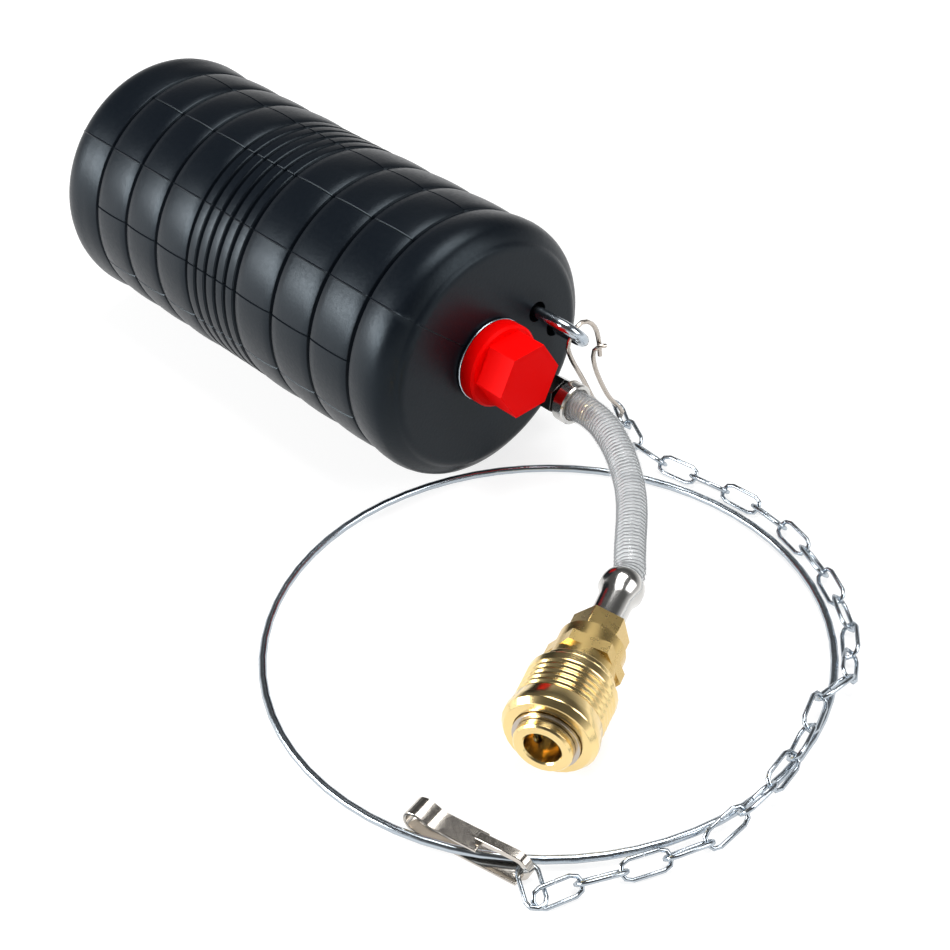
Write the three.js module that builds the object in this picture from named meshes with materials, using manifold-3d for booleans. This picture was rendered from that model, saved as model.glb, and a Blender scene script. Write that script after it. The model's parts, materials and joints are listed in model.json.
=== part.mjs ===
// Inflatable pipe plug with a bypass, lying on its side with its air hose, safety hoop and chain.
// Millimetres, +Z up, floor at Z = 0. The body lies along X and its front face looks towards +X.
import * as THREE from "three";
import { mergeVertices } from "three/addons/utils/BufferGeometryUtils.js";
import Module from "manifold-3d";

const wasm = await Module();
wasm.setup();

// Clearances
const fitGap = 0.3;
const slideGap = 0.3;

// Rubber body
const bodyRadius = 45;
const bodyLength = 183;
const faceRadius = 38;
const bodyWall = 6.5;
const endWall = 9;
const shoulderLength = 8;
const shoulderStep = 2.2;
const grooveDepth = 1.5;
const grooveWidth = 1.8;
const segmentCrown = 0.9;
const frontSegment = 19.1;
const frontPitch = 19.7;
const rearPitch = 18.1;
const closePitch = 5.4;
const wideGroovesEachEnd = 3;
const closeGrooves = 6;
const bodySides = 36;

// Bypass pipe through the body, its flange, cap and rear nut
const tubeRadius = 10;
const tubeBore = 7;
const nozzleLength = 13;
const flangeRadius = 14.5;
const flangeThickness = 0.8;
const capSkirtRadius = 14.3;
const capSkirtLength = 5.4;
const capHexFlats = 22;
const capLength = 17;
const sealThickness = 1;
const plateThickness = 6;
const rearWasherRadius = 20;
const rearWasherThickness = 2;
const rearNutFlats = 30;
const rearNutLength = 7;
const rearTubeEnd = 1;

// Towing eye and inflation nipple, on one circle round the bypass
const fittingRadius = 25.4;
const eyeAzimuth = 7.7;
const eyeTurn = -50;
const eyeBarRadius = 2.1;
const eyeHalfWidth = 6;
const eyeLegLength = 9.9;
const eyeRecessRadius = 3.6;
const nippleAzimuth = -43.6;
const nippleShankRadius = 4.2;
const nippleBodyRadius = 5.4;
const nippleBodyLength = 8.5;
const nippleHexFlats = 11.5;
const nippleHexLength = 6.5;
const airBore = 2.4;

// Hose, its barbs and its two crimped ferrules
const hoseRadius = 5.4;
const hoseBore = 3.9;
const barbRadius = 3.5;
const topBarbReach = 6;
const ferruleWall = 1.4;
const topFerruleLength = 5.2;
const topFerruleGrip = 3.8;

// Quick coupler: stations run along its own axis, from the ferrule's bead to the nose
const couplerPlace = [85.2, -27.6, 16.4];
const couplerAxis = [0.426, -0.904, -0.025];
const bottomBeadRadius = 6.95;
const bottomFerruleMouth = -3.2;
const bottomNeckRadius = 5.4;
const hoseEndStation = 1.5;
const tailBarbStart = -6;
const tailHexStart = 17.3;
const tailHexLength = 7.7;
const tailHexFlats = 15.6;
const tailSpigotRadius = 6.2;
const tailSpigotLength = 7.9;
const nutRingLength = 5.6;
const nutLength = 4.2;
const nutFlats = 20.4;
const collarRadius = 10.3;
const collarLength = 3.4;
const nutSpigotRadius = 6.2;
const nutSpigotLength = 4;
const nutPassage = 3;
const couplerBodyRadius = 8.8;
const couplerBodyLength = 28.8;
const couplerBore = 5.5;
const couplerBoreDepth = 12.7;
const valveLip = 1;
const valveLipRadius = 4;
const sleeveLength = 24.2;
const sleeveTravel = 3.6;
const sleeveRimRadius = 14.3;
const sleeveBandRadius = 13.7;
const sleeveRearRadius = 11.8;
const sleeveRidges = 5;
const sleeveRidgePitch = 2.1;
const sleeveRidgeDepth = 0.6;
const springRecess = 10.9;
const sleeveStepLength = 9.3;
const sleeveSpringWire = 0.8;
const sleeveSpringTurns = 4;
const snapRingRadius = 10;
const snapRingThickness = 1;
const snapGrooveDepth = 0.65;
const snapRingOpening = 24;
const poppetHeadRadius = 5.1;
const poppetHeadLength = 2;
const poppetTipRadius = 3.4;
const poppetTipReach = 1.5;
const poppetTailLength = 2.5;
const poppetTailRadius = 2;
const valveSealLength = 1.2;
const valveTravel = 4;
const valveSpringWire = 0.7;
const valveSpringRadius = 4.2;
const valveSpringTurns = 3;
const ballRadius = 1.5;
const ballSetback = 7;
const ballCount = 4;

// Safety hoop, strip hook, chain and wire clip
const hoopNearPlace = [0.5, -5.35];
const hoopNearTurn = -30;
const hoopRadius = 85.1;
const hoopRodRadius = 1.25;
const hookRound = -72.6;
const hookInset = 6.7;
const hookHeading = 12.5;
const hookOverHoop = 20;
const hookWidth = 7;
const hookStrip = 0.9;
const hookNoseWidth = 2.8;
const hookNoseThickness = 1.9;
const linkWire = 1.4;
const linkLength = 15.9;
const linkWidth = 7;
const linkButtGap = 0.4;
const linkSlack = 0.6;
const clipWireRadius = 0.8;
const clipFootY = 47.2;
const clipFootZ = 4.5;
const clipFootBend = 2.1;

// Materials, with the colours of the real finishes
function finish(color, roughness, metalness) {
  return new THREE.MeshStandardMaterial({ color, roughness, metalness });
}
const rubberBlack = finish(0x17181b, 0.5, 0);
const capRed = finish(0xd90a08, 0.4, 0);
const zincSteel = finish(0xb4bcc2, 0.3, 1);
const springSteel = finish(0xa79c92, 0.3, 1);
const nickelSteel = finish(0xb9b1a6, 0.22, 1);
const darkChrome = finish(0x6f6c6a, 0.15, 1);
const chrome = finish(0xb9b9b6, 0.1, 1);
const brass = finish(0xc39a4a, 0.25, 1);
const aluminium = finish(0xa9abad, 0.4, 1);
const clearHose = finish(0xc9cfd0, 0.2, 0);
const sealBlack = finish(0x101012, 0.6, 0);

const rad = THREE.MathUtils.degToRad;

// Solids and booleans
function toSolid(geometry) {
  const plain = geometry.clone();
  plain.deleteAttribute("normal");
  plain.deleteAttribute("uv");
  const merged = mergeVertices(plain, 1e-4);
  const triVerts = new Uint32Array(merged.index.array);
  const vertProperties = merged.attributes.position.array;
  return new wasm.Manifold(new wasm.Mesh({ numProp: 3, vertProperties, triVerts }));
}

function toGeometry(solid) {
  const mesh = solid.getMesh();
  const geometry = new THREE.BufferGeometry();
  geometry.setAttribute("position", new THREE.BufferAttribute(new Float32Array(mesh.vertProperties), 3));
  geometry.setIndex(new THREE.BufferAttribute(new Uint32Array(mesh.triVerts), 1));
  const flat = geometry.toNonIndexed();
  flat.computeVertexNormals();
  return flat;
}

function cut(geometry, ...tools) {
  let solid = toSolid(geometry);
  for (const tool of tools) solid = solid.subtract(toSolid(tool));
  return toGeometry(solid);
}

function join(geometry, ...others) {
  let solid = toSolid(geometry);
  for (const other of others) solid = solid.add(toSolid(other));
  return toGeometry(solid);
}

// A profile of [radius, station] points, turned about the X axis. Its direction is made right here.
function turned(profile, sides) {
  const points = profile.map(([radius, station]) => new THREE.Vector2(radius, station));
  if (THREE.ShapeUtils.area(points) < 0) points.reverse();
  const first = points[0];
  if (first.x > 0) points.push(first.clone());
  return new THREE.LatheGeometry(points, sides).rotateZ(-Math.PI / 2);
}

// A ring with square edges about the X axis, from one station to another.
function ring(inner, outer, from, to, sides = 32) {
  const profile = [[inner, from], [outer, from], [outer, to], [inner, to]];
  return turned(profile, sides);
}

function rod(radius, from, to, sides = 16) {
  return turned([[0, from], [radius, from], [radius, to], [0, to]], sides);
}

// A hexagonal prism along X. With turn 0 a corner points along +Y.
function hexagon(flats, from, to, turn = 0) {
  const prism = new THREE.CylinderGeometry(flats / Math.sqrt(3), flats / Math.sqrt(3), to - from, 6);
  prism.rotateZ(-Math.PI / 2).rotateX(rad(90 + turn)).translate((from + to) / 2, 0, 0);
  return prism;
}

function circleShape(radius, sides) {
  const points = [];
  for (let i = 0; i < sides; i++) {
    const angle = (2 * Math.PI * i) / sides;
    points.push(new THREE.Vector2(radius * Math.cos(angle), radius * Math.sin(angle)));
  }
  return new THREE.Shape(points);
}

// A path with one station at each of its points, so that bends get more steps than straights.
class StationPath extends THREE.Curve {
  constructor(points) {
    super();
    this.points = points;
  }
  getPoint(t) {
    const last = this.points.length - 1;
    const index = Math.min(Math.floor(t * last + 1e-6), last);
    const share = t * last - index;
    if (share < 1e-6) return this.points[index].clone();
    return this.points[index].clone().lerp(this.points[index + 1], share);
  }
  getPointAt(u) {
    return this.getPoint(u);
  }
  getTangent(t) {
    const last = this.points.length - 1;
    const index = Math.round(t * last);
    const before = this.points[Math.max(index - 1, 0)];
    const after = this.points[Math.min(index + 1, last)];
    return after.clone().sub(before).normalize();
  }
  getTangentAt(u) {
    return this.getTangent(u);
  }
}

function swept(shape, points) {
  const extrudePath = new StationPath(points);
  return new THREE.ExtrudeGeometry(shape, { steps: points.length - 1, extrudePath });
}

function smoothPoints(list, steps) {
  const curve = new THREE.CatmullRomCurve3(list.map((p) => new THREE.Vector3(...p)), false, "centripetal");
  return curve.getSpacedPoints(steps);
}

// A round-wire spring about the X axis, its ends resting on the two stations.
function coil(meanRadius, wire, turns, from, to) {
  const stepsPerTurn = 10;
  const points = [];
  const length = to - from - wire;
  for (let i = 0; i <= turns * stepsPerTurn; i++) {
    const angle = (2 * Math.PI * i) / stepsPerTurn;
    const station = from + wire / 2 + (length * i) / (turns * stepsPerTurn);
    points.push(new THREE.Vector3(station, meanRadius * Math.cos(angle), meanRadius * Math.sin(angle)));
  }
  return swept(circleShape(wire / 2, 6), points);
}

function add(parent, name, geometry, material) {
  const mesh = new THREE.Mesh(geometry, material);
  mesh.name = name;
  parent.add(mesh);
  return mesh;
}

const plug = new THREE.Group();

// Axis group: everything turned about the body's own axis, with the front face at X = 0
const axisGroup = new THREE.Group();
axisGroup.position.z = bodyRadius;
plug.add(axisGroup);

const eyeCentre = new THREE.Vector2(fittingRadius, 0).rotateAround(new THREE.Vector2(), rad(eyeAzimuth));
const nippleCentre = new THREE.Vector2(fittingRadius, 0).rotateAround(new THREE.Vector2(), rad(nippleAzimuth));
const eyeAcross = new THREE.Vector2(eyeHalfWidth, 0).rotateAround(new THREE.Vector2(), rad(eyeTurn));
const boreRadius = tubeRadius + fitGap;
const plateFront = -endWall - fitGap;
const plateBack = plateFront - plateThickness;

function rubberBodyGeometry() {
  const closeLength = (closeGrooves - 1) * closePitch;
  const grooves = [];
  for (let i = 0; i <= wideGroovesEachEnd; i++) grooves.push(-frontSegment - i * frontPitch);
  for (let i = 1; i < closeGrooves; i++) grooves.push(grooves[wideGroovesEachEnd] - i * closePitch);
  const rearOfClose = -frontSegment - wideGroovesEachEnd * frontPitch - closeLength;
  for (let i = 1; i <= wideGroovesEachEnd; i++) grooves.push(rearOfClose - i * rearPitch);
  const edgeRadius = bodyRadius - segmentCrown;

  const frontEnd = [
    [faceRadius - 1.2, 0],
    [faceRadius + 0.6, -0.6],
    [faceRadius + 1.6, -1.6],
    [faceRadius + shoulderStep, -1.9],
    [bodyRadius - 3.4, -2.9],
    [bodyRadius - 1.2, -5],
    [bodyRadius, -shoulderLength - 2],
  ];
  const rearEnd = frontEnd.map(([radius, station]) => [radius, -bodyLength - station]).reverse();

  const outside = [[boreRadius, 0], ...frontEnd];
  grooves.forEach((station, i) => {
    outside.push([edgeRadius, station + grooveWidth / 2]);
    outside.push([edgeRadius - grooveDepth, station]);
    outside.push([edgeRadius, station - grooveWidth / 2]);
    const next = grooves[i + 1];
    if (next !== undefined && station - next > closePitch + 1) {
      outside.push([bodyRadius, (station + next) / 2]);
    }
  });
  outside.push(...rearEnd, [boreRadius, -bodyLength]);

  const cavityRadius = bodyRadius - segmentCrown - grooveDepth - bodyWall;
  const inside = [
    [boreRadius, -bodyLength + endWall],
    [cavityRadius, -bodyLength + endWall],
    [cavityRadius, -endWall],
    [boreRadius, -endWall],
  ];
  const shell = turned([...outside, ...inside], bodySides);
  const recess = (centre, radius) => rod(radius, -endWall - 1, 1).translate(0, centre.x, centre.y);
  return cut(
    shell,
    recess(eyeCentre.clone().add(eyeAcross), eyeRecessRadius),
    recess(eyeCentre.clone().sub(eyeAcross), eyeRecessRadius),
    recess(nippleCentre, nippleShankRadius + fitGap),
  );
}
add(axisGroup, "rubber_body", rubberBodyGeometry(), rubberBlack);

function endPlateGeometry(from, to) {
  const plateRadius = bodyRadius - segmentCrown - grooveDepth - bodyWall - fitGap;
  return ring(boreRadius, plateRadius, from, to, bodySides);
}

function frontPlateGeometry() {
  const hole = (centre, radius) => rod(radius, plateBack - 1, plateFront + 1).translate(0, centre.x, centre.y);
  return cut(
    endPlateGeometry(plateBack, plateFront),
    hole(eyeCentre.clone().add(eyeAcross), eyeBarRadius + fitGap),
    hole(eyeCentre.clone().sub(eyeAcross), eyeBarRadius + fitGap),
    hole(nippleCentre, nippleShankRadius + fitGap),
  );
}
add(axisGroup, "front_end_plate", frontPlateGeometry(), aluminium);

const rearPlateFront = -bodyLength + endWall + fitGap + plateThickness;
const rearPlate = endPlateGeometry(rearPlateFront - plateThickness, rearPlateFront);
add(axisGroup, "rear_end_plate", rearPlate, aluminium);

// Bypass pipe, clamped between the front flange and the rear nut
const rearWasherFront = -bodyLength - fitGap;
const rearNutFront = rearWasherFront - rearWasherThickness - fitGap;
const tubeRear = rearNutFront - rearNutLength - rearTubeEnd;
add(axisGroup, "bypass_tube", ring(tubeBore, tubeRadius, tubeRear, nozzleLength), aluminium);
add(axisGroup, "bypass_flange", ring(boreRadius, flangeRadius, fitGap, fitGap + flangeThickness), zincSteel);
const rearWasher = ring(boreRadius, rearWasherRadius, rearWasherFront - rearWasherThickness, rearWasherFront);
add(axisGroup, "rear_washer", rearWasher, zincSteel);

function rearNutGeometry() {
  const blank = hexagon(rearNutFlats, rearNutFront - rearNutLength, rearNutFront);
  return cut(blank, rod(boreRadius, rearNutFront - rearNutLength - 1, rearNutFront + 1, 32));
}
add(axisGroup, "rear_lock_nut", rearNutGeometry(), zincSteel);

// Screw cap of the bypass: a round skirt and a hexagon, with a blind threaded hole
function redCapGeometry() {
  const skirtFrom = 2 * fitGap + flangeThickness;
  const skirtTo = skirtFrom + capSkirtLength;
  const holeTo = nozzleLength + sealThickness + 2 * fitGap;
  const skirt = turned(
    [
      [0, skirtFrom],
      [capSkirtRadius, skirtFrom],
      [capSkirtRadius, skirtTo - 0.8],
      [capSkirtRadius - 0.8, skirtTo],
      [0, skirtTo],
    ],
    40,
  );
  const head = hexagon(capHexFlats, skirtTo - 1, skirtFrom + capLength);
  return cut(join(skirt, head), rod(tubeRadius + slideGap, skirtFrom - 1, holeTo, 32));
}
add(axisGroup, "red_cap", redCapGeometry(), capRed);
const sealFrom = nozzleLength + fitGap;
const capSeal = ring(tubeBore, tubeRadius, sealFrom, sealFrom + sealThickness);
add(axisGroup, "cap_seal", capSeal, sealBlack);

// Towing eye: a bar bent into a U whose two legs are held in the front plate
function towingEyeGeometry() {
  const points = [new THREE.Vector3(plateBack, -1, 0), new THREE.Vector3(eyeLegLength, -1, 0)];
  const bendSteps = 10;
  for (let i = 1; i < bendSteps; i++) {
    const angle = (Math.PI * i) / bendSteps;
    points.push(new THREE.Vector3(eyeLegLength + eyeHalfWidth * Math.sin(angle), -Math.cos(angle), 0));
  }
  points.push(new THREE.Vector3(eyeLegLength, 1, 0), new THREE.Vector3(plateBack, 1, 0));
  for (const point of points) point.y *= eyeHalfWidth;
  return swept(circleShape(eyeBarRadius, 12), points);
}
const towingEye = add(axisGroup, "towing_eye", towingEyeGeometry(), zincSteel);
towingEye.position.set(0, eyeCentre.x, eyeCentre.y);
towingEye.rotation.x = rad(eyeTurn);

// Inflation nipple: threaded shank, round body and hexagon, turned from one bar
const nippleEnd = fitGap + nippleBodyLength + nippleHexLength;
function nippleGeometry() {
  const turnedBody = turned(
    [
      [0, plateBack],
      [nippleShankRadius, plateBack],
      [nippleShankRadius, fitGap],
      [nippleBodyRadius, fitGap],
      [nippleBodyRadius, fitGap + nippleBodyLength - 1],
      [nippleBodyRadius - 0.8, fitGap + nippleBodyLength],
      [nippleBodyRadius - 0.8, nippleEnd],
      [0, nippleEnd],
    ],
    24,
  );
  const head = hexagon(nippleHexFlats, fitGap + nippleBodyLength, nippleEnd - 0.8, 20);
  return cut(join(turnedBody, head), rod(airBore, plateBack - 1, nippleEnd + 1));
}
const nippleGroup = new THREE.Group();
nippleGroup.position.set(0, nippleCentre.x, nippleCentre.y);
axisGroup.add(nippleGroup);
add(nippleGroup, "inflation_nipple", nippleGeometry(), darkChrome);

const topBarbFrom = nippleEnd + fitGap;
const topFerruleFrom = topBarbFrom;
const topFerruleTo = topFerruleFrom + topFerruleLength;
const topHoseStart = topFerruleTo - topFerruleGrip;
function topBarbGeometry() {
  const hollow = airBore;
  const bead = 1.6;
  const seatRadius = hoseBore - fitGap;
  const profile = [[hollow, topBarbFrom], [seatRadius, topBarbFrom]];
  for (let station = topHoseStart; station < topFerruleTo + topBarbReach - bead; station += 2 * bead) {
    profile.push([barbRadius - 0.5, station], [barbRadius, station + bead]);
  }
  profile.push([barbRadius - 0.6, topFerruleTo + topBarbReach], [hollow, topFerruleTo + topBarbReach]);
  return turned(profile, 20);
}
add(nippleGroup, "top_barb", topBarbGeometry(), brass);

const ferruleRadius = hoseRadius + fitGap + ferruleWall;
function topFerruleGeometry() {
  const collar = hoseBore + fitGap;
  return turned(
    [
      [hoseBore, topFerruleFrom],
      [ferruleRadius - 1, topFerruleFrom],
      [ferruleRadius, topFerruleFrom + 1],
      [ferruleRadius, topFerruleTo - 0.5],
      [ferruleRadius - 0.5, topFerruleTo],
      [hoseRadius + fitGap, topFerruleTo],
      [hoseRadius + fitGap, topHoseStart - fitGap],
      [collar, topHoseStart - fitGap],
      [collar, topFerruleFrom + 0.6],
      [hoseBore, topFerruleFrom + 0.6],
    ],
    28,
  );
}
add(nippleGroup, "top_ferrule", topFerruleGeometry(), chrome);

// Coupler group: its own X axis runs from the lower ferrule's bead to the nose
const couplerGroup = new THREE.Group();
const couplerDirection = new THREE.Vector3(...couplerAxis).normalize();
couplerGroup.position.set(...couplerPlace);
couplerGroup.quaternion.setFromUnitVectors(new THREE.Vector3(1, 0, 0), couplerDirection);
plug.add(couplerGroup);

// Air hose: its route from the upper ferrule to the lower one, chosen by hand
const nippleY = nippleCentre.x;
const nippleZ = bodyRadius + nippleCentre.y;
const couplerStation = (station) => {
  const place = new THREE.Vector3(...couplerPlace);
  return place.addScaledVector(couplerDirection, station).toArray();
};
const hoseRoute = [
  [topHoseStart, nippleY, nippleZ],
  [topHoseStart + 5, nippleY, nippleZ],
  [topHoseStart + 10, nippleY, nippleZ],
  [33, 17.5, 27.1],
  [38.6, 15.7, 26.3],
  [44.2, 13.3, 25.3],
  [49.4, 10.4, 24.3],
  [54.3, 7.2, 23.3],
  [59.2, 3.5, 22.3],
  [64.1, -0.9, 21.2],
  [68.9, -6, 20.1],
  [73.6, -11.4, 18.9],
  [78.1, -16.4, 17.8],
  couplerStation(-8),
  couplerStation(-4),
  couplerStation(hoseEndStation),
];
const hoseSection = circleShape(hoseRadius, 12);
hoseSection.holes.push(circleShape(hoseBore, 12));
add(plug, "hose", swept(hoseSection, smoothPoints(hoseRoute, 14)), clearHose);

const bottomFerruleTo = tailHexStart - fitGap;
function bottomFerruleGeometry() {
  const mouthRadius = hoseRadius + fitGap;
  const neckBore = barbRadius + fitGap;
  const hoseStop = hoseEndStation + fitGap;
  return turned(
    [
      [mouthRadius, bottomFerruleMouth],
      [bottomBeadRadius - 0.5, bottomFerruleMouth],
      [bottomBeadRadius, -1.6],
      [bottomBeadRadius, 0.8],
      [bottomBeadRadius - 0.7, 2.4],
      [bottomNeckRadius + 0.3, 4],
      [bottomNeckRadius, 6],
      [bottomNeckRadius, bottomFerruleTo],
      [neckBore, bottomFerruleTo],
      [neckBore, hoseStop],
      [mouthRadius, hoseStop],
    ],
    28,
  );
}
add(couplerGroup, "bottom_ferrule", bottomFerruleGeometry(), chrome);

// Hose tail: barb, hexagon and threaded spigot in one brass piece
const tailHexTo = tailHexStart + tailHexLength;
const tailEnd = tailHexTo + tailSpigotLength;
function hoseTailGeometry() {
  const stem = turned(
    [
      [0, tailBarbStart],
      [barbRadius - 0.6, tailBarbStart],
      [barbRadius, tailBarbStart + 2],
      [barbRadius - 0.5, tailBarbStart + 2.4],
      [barbRadius, tailBarbStart + 4.4],
      [barbRadius, tailHexStart + 1],
      [tailSpigotRadius, tailHexTo - 1],
      [tailSpigotRadius, tailEnd - 0.5],
      [tailSpigotRadius - 0.5, tailEnd],
      [0, tailEnd],
    ],
    24,
  );
  const head = hexagon(tailHexFlats, tailHexStart, tailHexTo, 42);
  return cut(join(stem, head), rod(airBore, tailBarbStart - 1, tailEnd + 1));
}
add(couplerGroup, "hose_tail", hoseTailGeometry(), brass);

// Rear body of the coupler: hexagon, collar and a spigot into the front body
const nutFrom = tailHexTo + fitGap;
const nutHexFrom = nutFrom + nutRingLength;
const nutTo = nutHexFrom + nutLength;
const collarTo = nutTo + collarLength;
const nutSpigotTo = collarTo + nutSpigotLength;
function couplerNutGeometry() {
  const stem = turned(
    [
      [0, nutFrom],
      [collarRadius - 0.6, nutFrom],
      [collarRadius, nutFrom + 0.6],
      [collarRadius, collarTo],
      [nutSpigotRadius, collarTo],
      [nutSpigotRadius, nutSpigotTo],
      [0, nutSpigotTo],
    ],
    32,
  );
  const head = hexagon(nutFlats, nutHexFrom, nutTo, 50);
  const thread = rod(tailSpigotRadius + fitGap, nutFrom - 1, tailEnd + fitGap, 24);
  return cut(join(head, stem), thread, rod(nutPassage, nutFrom, nutSpigotTo + 1));
}
add(couplerGroup, "coupler_nut", couplerNutGeometry(), brass);

// Front body: the plug's bore, the valve chamber behind its lip, and the balls' radial holes
const frontBodyFrom = collarTo + fitGap;
const noseStation = frontBodyFrom + couplerBodyLength;
const lipFront = noseStation - couplerBoreDepth;
const lipBack = lipFront - valveLip;
const sleeveFrom = frontBodyFrom + slideGap;
const sleeveTo = sleeveFrom + sleeveLength;
const snapRingFrom = sleeveTo + fitGap;
const ballStation = noseStation - ballSetback;
const ballCircle = couplerBore + ballRadius;
function couplerBodyGeometry() {
  const grooveFloor = couplerBodyRadius - snapGrooveDepth;
  const rearBore = nutSpigotRadius + fitGap;
  const rearBoreTo = nutSpigotTo + fitGap;
  const blank = turned(
    [
      [rearBore, frontBodyFrom],
      [couplerBodyRadius, frontBodyFrom],
      [couplerBodyRadius, snapRingFrom - 0.2],
      [grooveFloor, snapRingFrom - 0.2],
      [grooveFloor, snapRingFrom + snapRingThickness + 0.2],
      [couplerBodyRadius, snapRingFrom + snapRingThickness + 0.2],
      [couplerBodyRadius, noseStation - 0.6],
      [couplerBodyRadius - 0.6, noseStation],
      [couplerBore + 0.5, noseStation],
      [couplerBore, noseStation - 0.5],
      [couplerBore, lipFront],
      [valveLipRadius, lipFront],
      [valveLipRadius, lipBack],
      [couplerBore, lipBack],
      [couplerBore, rearBoreTo],
      [rearBore, rearBoreTo],
    ],
    24,
  );
  const holes = [];
  for (let i = 0; i < ballCount; i++) {
    const hole = new THREE.CylinderGeometry(ballRadius + fitGap, ballRadius + fitGap, couplerBodyRadius, 12);
    hole.translate(0, couplerBodyRadius / 2 + couplerBore - 1, 0);
    hole.rotateX((2 * Math.PI * i) / ballCount + Math.PI / 4).translate(ballStation, 0, 0);
    holes.push(hole);
  }
  return cut(blank, ...holes);
}
add(couplerGroup, "coupler_body", couplerBodyGeometry(), brass);

for (let i = 0; i < ballCount; i++) {
  const angle = (2 * Math.PI * i) / ballCount + Math.PI / 4;
  const ball = add(couplerGroup, `locking_ball_${i + 1}`, new THREE.SphereGeometry(ballRadius, 10, 6), zincSteel);
  ball.position.set(ballStation, ballCircle * Math.cos(angle), ballCircle * Math.sin(angle));
}

function couplerSleeveGeometry() {
  const stepFrom = sleeveTo - sleeveStepLength;
  const bore = couplerBodyRadius + slideGap;
  const ballRelief = sleeveTo - ballStation;
  const ridgesFrom = sleeveFrom + 7.4;
  const outside = [
    [springRecess, sleeveFrom],
    [sleeveRearRadius - 0.4, sleeveFrom],
    [sleeveRearRadius, sleeveFrom + 0.4],
    [sleeveRearRadius, sleeveFrom + 2],
    [sleeveRearRadius - 0.5, sleeveFrom + 2.5],
    [sleeveBandRadius - 0.4, sleeveFrom + 3.3],
    [sleeveBandRadius, sleeveFrom + 3.8],
    [sleeveBandRadius, ridgesFrom - sleeveRidgePitch / 2],
  ];
  for (let i = 0; i < sleeveRidges; i++) {
    const station = ridgesFrom + i * sleeveRidgePitch;
    outside.push([sleeveBandRadius - sleeveRidgeDepth, station]);
    outside.push([sleeveBandRadius, station + sleeveRidgePitch / 2]);
  }
  outside.push(
    [sleeveRimRadius - 0.3, sleeveTo - 4.8],
    [sleeveRimRadius, sleeveTo - 4],
    [sleeveRimRadius, sleeveTo - 2],
    [sleeveRimRadius - 1.4, sleeveTo],
    [bore + 1, sleeveTo],
    [bore, sleeveTo - 1],
    [bore, sleeveTo - ballRelief],
    [bore, stepFrom],
    [springRecess, stepFrom],
  );
  return turned(outside, 28);
}
add(couplerGroup, "coupler_sleeve", couplerSleeveGeometry(), brass);

const sleeveSpringMean = (springRecess + couplerBodyRadius) / 2;
const sleeveSpringTo = sleeveTo - sleeveStepLength - sleeveTravel - fitGap;
const sleeveSpring = coil(sleeveSpringMean, sleeveSpringWire, sleeveSpringTurns, frontBodyFrom, sleeveSpringTo);
add(couplerGroup, "sleeve_spring", sleeveSpring, springSteel);

function snapRingGeometry() {
  const inner = couplerBodyRadius - snapGrooveDepth + fitGap;
  const half = rad(snapRingOpening / 2);
  const outline = new THREE.Shape();
  outline.absarc(0, 0, snapRingRadius, half, 2 * Math.PI - half, false);
  outline.absarc(0, 0, inner, 2 * Math.PI - half, half, true);
  outline.closePath();
  const options = { depth: snapRingThickness, bevelEnabled: false, curveSegments: 16 };
  return new THREE.ExtrudeGeometry(outline, options).rotateY(Math.PI / 2).translate(snapRingFrom, 0, 0);
}
add(couplerGroup, "snap_ring", snapRingGeometry(), springSteel);

// Valve: the poppet closes forwards on the lip, with its seal in front of its head
const sealTo = lipBack - fitGap;
const sealBack = sealTo - valveSealLength;
const headTo = sealBack - fitGap;
const headFrom = headTo - poppetHeadLength;
function valvePoppetGeometry() {
  return turned(
    [
      [0, headFrom - poppetTailLength],
      [poppetTailRadius, headFrom - poppetTailLength],
      [poppetTailRadius, headFrom],
      [poppetHeadRadius, headFrom],
      [poppetHeadRadius, headTo],
      [poppetTipRadius, headTo],
      [poppetTipRadius, lipFront + poppetTipReach - 0.6],
      [poppetTipRadius - 0.6, lipFront + poppetTipReach],
      [0, lipFront + poppetTipReach],
    ],
    24,
  );
}
add(couplerGroup, "valve_poppet", valvePoppetGeometry(), darkChrome);
const valveSeal = ring(poppetTipRadius + fitGap, poppetHeadRadius, sealBack, sealTo, 24);
add(couplerGroup, "valve_seal", valveSeal, sealBlack);
const valveSpringFrom = nutSpigotTo + fitGap;
const valveSpringTo = headFrom - valveTravel - fitGap;
const valveSpring = coil(valveSpringRadius, valveSpringWire, valveSpringTurns, valveSpringFrom, valveSpringTo);
add(couplerGroup, "valve_spring", valveSpring, springSteel);

// Places round the hoop, in degrees and millimetres outside its rod's line. The hoop starts under
// the body's front edge, so a larger one reaches further forward and takes its hook and chain along.
const nearTurn = rad(hoopNearTurn);
const hoopCentre = [
  hoopNearPlace[0] + hoopRadius * Math.cos(nearTurn),
  hoopNearPlace[1] + hoopRadius * Math.sin(nearTurn),
];
function roundHoop(degrees, outside, height = 0) {
  const radius = hoopRadius + outside;
  const angle = rad(degrees);
  return [hoopCentre[0] + radius * Math.cos(angle), hoopCentre[1] + radius * Math.sin(angle), height];
}

// Strip hook: one strip bent round an eye, with a narrow thick nose. It lies on the floor
const hookPlace = roundHoop(hookRound, -hookInset);
const hookGroup = new THREE.Group();
hookGroup.position.set(hookPlace[0], hookPlace[1], 0.03);
hookGroup.rotation.z = rad(hookHeading);
plug.add(hookGroup);

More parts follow.
